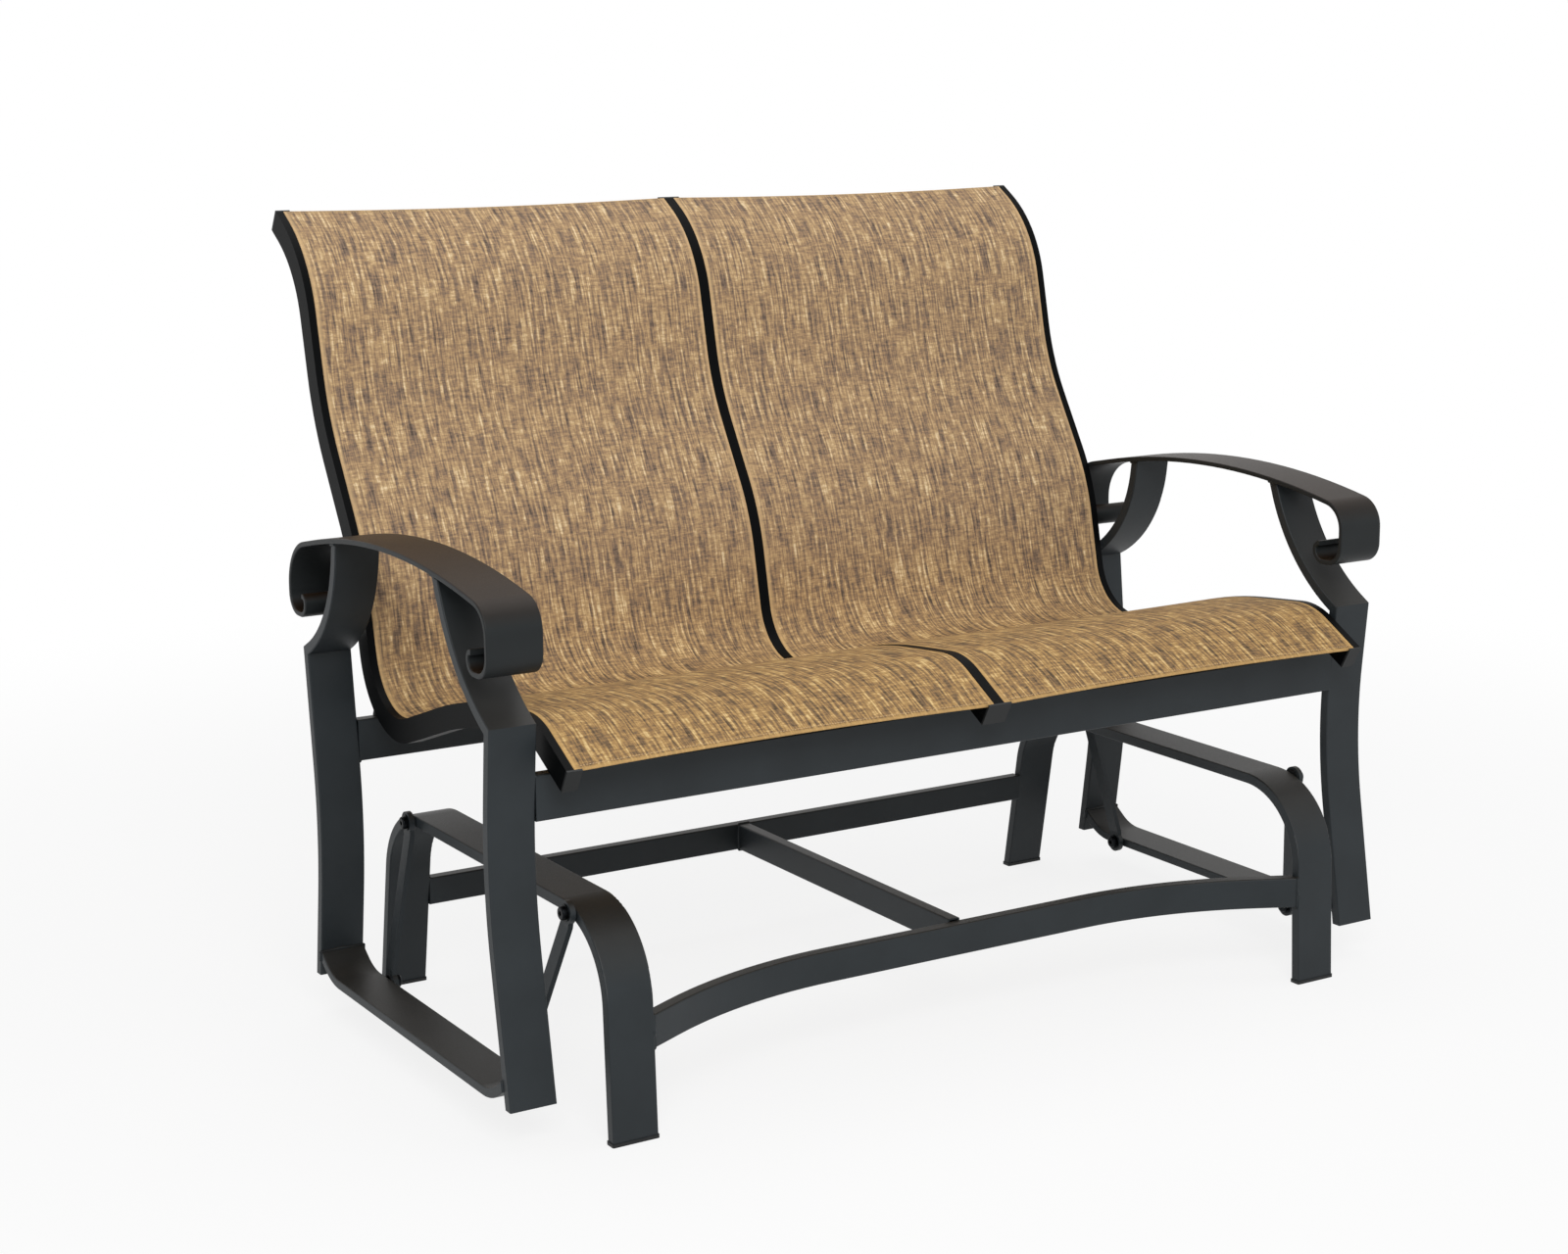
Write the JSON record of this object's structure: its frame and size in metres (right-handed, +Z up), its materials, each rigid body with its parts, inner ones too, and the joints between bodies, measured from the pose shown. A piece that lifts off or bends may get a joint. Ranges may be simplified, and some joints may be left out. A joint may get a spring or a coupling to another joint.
{
  "type": "glider bench",
  "caption": "Porch glider bench: a sling seat frame with arms and a high back hangs on flat links from a standing base of bent flat-bar arches.",
  "frame": {"origin": "on the floor, under the middle of the whole box", "axes": "+X to the sitter's left (the viewer's right from the front), +Y from the front to the back, +Z up"},
  "size_m": [1.209, 0.7666, 0.9418],
  "materials": {
    "base_coat": "charcoal powder coat, satin, fine texture",
    "seat_coat": "charcoal powder coat, satin, fine texture",
    "arm_coat": "charcoal powder coat, satin, with a brown cast",
    "rail_coat": "near-black powder coat, satin",
    "spreader_coat": "charcoal powder coat, satin",
    "link_coat": "steel flat, charcoal powder coat",
    "sling_fabric": "woven vinyl-coated polyester mesh in tan, gold and brown",
    "hem_rod": "extruded rod",
    "glide_plastic": "moulded black plastic",
    "cap_plastic": "moulded black plastic",
    "bush_plastic": "moulded black acetal",
    "steel_screws": "zinc-plated steel",
    "pivot_steel": "blackened steel",
    "washer_steel": "blackened steel"
  },
  "bodies": {
    "base": {"base_arch_left": "base_coat", "base_arch_right": "base_coat", "base_center_stretcher": "base_coat", "base_front_stretcher": "base_coat", "base_rear_stretcher": "base_coat", "foot_glide_front_left": "glide_plastic", "foot_glide_front_right": "glide_plastic", "foot_glide_rear_left": "glide_plastic", "foot_glide_rear_right": "glide_plastic", "upper_pivot_bolts": "pivot_steel", "upper_pivot_washers": "washer_steel"},
    "seat_frame": {"arm_left": "arm_coat", "arm_post_front_left": "seat_coat", "arm_post_front_right": "seat_coat", "arm_post_rear_left": "seat_coat", "arm_post_rear_right": "seat_coat", "arm_right": "arm_coat", "back_spreader_lower_left": "spreader_coat", "back_spreader_lower_right": "spreader_coat", "back_spreader_upper_left": "spreader_coat", "back_spreader_upper_right": "spreader_coat", "hem_rods_left": "hem_rod", "hem_rods_right": "hem_rod", "leg_front_left": "seat_coat", "leg_front_right": "seat_coat", "leg_rear_left": "seat_coat", "leg_rear_right": "seat_coat", "lower_pivot_bolts": "pivot_steel", "lower_pivot_washers": "washer_steel", "rail_caps_back": "cap_plastic", "rail_caps_front": "cap_plastic", "rail_screws_front": "steel_screws", "rail_screws_rear": "steel_screws", "rail_tabs_front": "spreader_coat", "rail_tabs_rear": "spreader_coat", "seat_front_crossbar": "seat_coat", "seat_rear_crossbar": "seat_coat", "side_rail_left": "seat_coat", "side_rail_right": "seat_coat", "sling_left": "sling_fabric", "sling_rail_center": "rail_coat", "sling_rail_left": "rail_coat", "sling_rail_right": "rail_coat", "sling_right": "sling_fabric"},
    "link_front_left": {"link_front_left": "link_coat", "link_bushes_front_left": "bush_plastic"},
    "link_front_right": {"link_front_right": "link_coat", "link_bushes_front_right": "bush_plastic"},
    "link_rear_left": {"link_rear_left": "link_coat", "link_bushes_rear_left": "bush_plastic"},
    "link_rear_right": {"link_rear_right": "link_coat", "link_bushes_rear_right": "bush_plastic"}
  },
  "joints": [
    {"name": "link_front_left_hinge", "type": "hinge", "parent": "base", "child": "link_front_left", "pos_m": [-0.5052, -0.29927, 0.236], "axis": [1, 0, 0], "range_deg": [-15, 15]},
    {"name": "link_front_right_hinge", "type": "hinge", "parent": "base", "child": "link_front_right", "pos_m": [0.5052, -0.29927, 0.236], "axis": [1, 0, 0], "range_deg": [-15.5, 15.5]},
    {"name": "link_rear_left_hinge", "type": "hinge", "parent": "base", "child": "link_rear_left", "pos_m": [-0.5052, 0.11473, 0.236], "axis": [1, 0, 0], "range_deg": [-15.5, 15.5]},
    {"name": "link_rear_right_hinge", "type": "hinge", "parent": "base", "child": "link_rear_right", "pos_m": [0.5052, 0.11473, 0.236], "axis": [1, 0, 0], "range_deg": [-15.5, 15.5]},
    {"name": "seat_hinge", "type": "hinge", "parent": "link_front_left", "child": "seat_frame", "pos_m": [-0.5413, -0.25327, 0.0505], "axis": [1, 0, 0], "range_deg": [-17.9, 17.9]}
  ],
  "couplings": [
    {"joint": "seat_hinge", "follows": "link_front_left_hinge", "ratio": -1.1828},
    {"joint": "link_front_right_hinge", "follows": "link_front_left_hinge", "ratio": 1},
    {"joint": "link_rear_left_hinge", "follows": "link_front_left_hinge", "ratio": 1},
    {"joint": "link_rear_right_hinge", "follows": "link_front_left_hinge", "ratio": 1}
  ]
}
